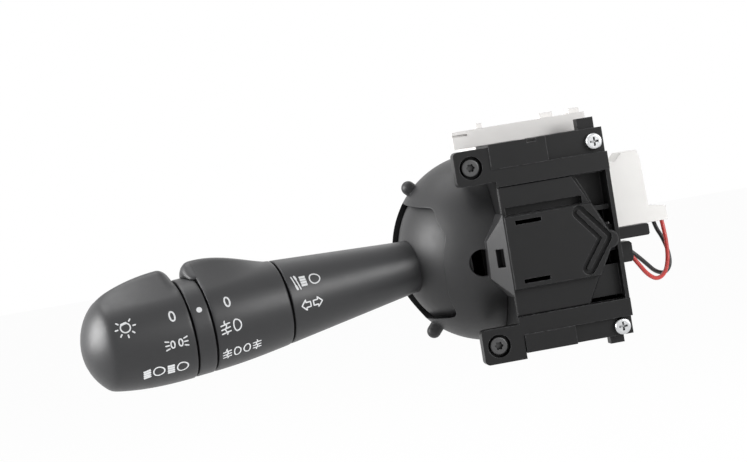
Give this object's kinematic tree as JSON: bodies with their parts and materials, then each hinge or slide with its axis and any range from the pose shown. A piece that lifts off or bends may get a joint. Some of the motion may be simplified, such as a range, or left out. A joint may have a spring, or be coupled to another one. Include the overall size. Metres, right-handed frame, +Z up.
{
  "type": "combination stalk switch",
  "caption": "Steering column light stalk: turning light knob and fog collar on a pivoting arm, with ball joint housing, fixing ears, rear contacts and two short leads.",
  "frame": {"origin": "midway between the two fixing screws, on the rear seat plane of the fixing ears", "axes": "X towards the steering hub (the stalk points to -X), Y away from the driver, along the fixing screws, Z up, as installed"},
  "size_m": [0.2094, 0.0713, 0.0812],
  "materials": {
    "grip_plastic": "fine grained satin",
    "frame_plastic": "satin moulded",
    "dome_plastic": "matte moulded",
    "carrier_plastic": "natural matte moulded",
    "connector_plastic": "natural matte moulded",
    "inner_plastic": "natural acetal",
    "board": "coated laminate",
    "bright_screw": "zinc plated",
    "black_screw": "black oxide",
    "steel": "drawn",
    "terminal_metal": "tinned",
    "wire_black": "smooth insulation",
    "wire_red": "smooth insulation"
  },
  "bodies": {
    "housing": {"dome_cover": "dome_plastic", "mounting_frame": "frame_plastic", "contact_carrier": "carrier_plastic", "connector_shroud": "frame_plastic", "terminal_blades": "terminal_metal", "contact_board": "board", "fixing_screws": "black_screw", "cover_screws": "bright_screw", "detent_track": "inner_plastic", "finger_pin": "steel", "finger_spring": "steel", "wire_block": "frame_plastic", "lead_connector": "connector_plastic", "lead_wire_black": "wire_black", "lead_wire_red": "wire_red"},
    "carriage": {"turn_carriage": "inner_plastic", "lever_pin": "steel"},
    "lever": {"lever_yoke": "inner_plastic", "detent_plunger": "steel", "detent_spring": "steel", "lever_arm": "grip_plastic", "ball_shutter": "dome_plastic", "core_tube": "inner_plastic", "index_ring": "grip_plastic"},
    "collar": {"fog_collar": "grip_plastic", "fog_tube": "inner_plastic"},
    "knob": {"light_knob": "grip_plastic", "knob_shaft": "steel"},
    "finger": {"cancel_finger": "frame_plastic"}
  },
  "joints": [
    {"name": "turn_signal", "type": "hinge", "parent": "housing", "child": "carriage", "pos_m": [0.0092, 0.028, 0.0012], "axis": [0, 1, 0], "range_deg": [-10, 10]},
    {"name": "beam_pull", "type": "hinge", "parent": "carriage", "child": "lever", "pos_m": [0.0092, 0.028, 0.0012], "axis": [0, 0, 1], "range_deg": [0, 7], "stiffness_Nm_per_rad": 0.6, "springref_deg": -5.73},
    {"name": "fog_collar_turn", "type": "hinge", "parent": "lever", "child": "collar", "pos_m": [0.0092, 0.028, 0.0012], "axis": [-0.975, -0.209, -0.075], "range_deg": [0, 72]},
    {"name": "light_knob_turn", "type": "hinge", "parent": "lever", "child": "knob", "pos_m": [0.0092, 0.028, 0.0012], "axis": [-0.975, -0.209, -0.075], "range_deg": [0, 66]},
    {"name": "cancel_swing", "type": "hinge", "parent": "housing", "child": "finger", "pos_m": [0.041, -0.0032, -0.00035], "axis": [0, 1, 0], "range_deg": [-12, 12], "stiffness_Nm_per_rad": 0.02}
  ]
}
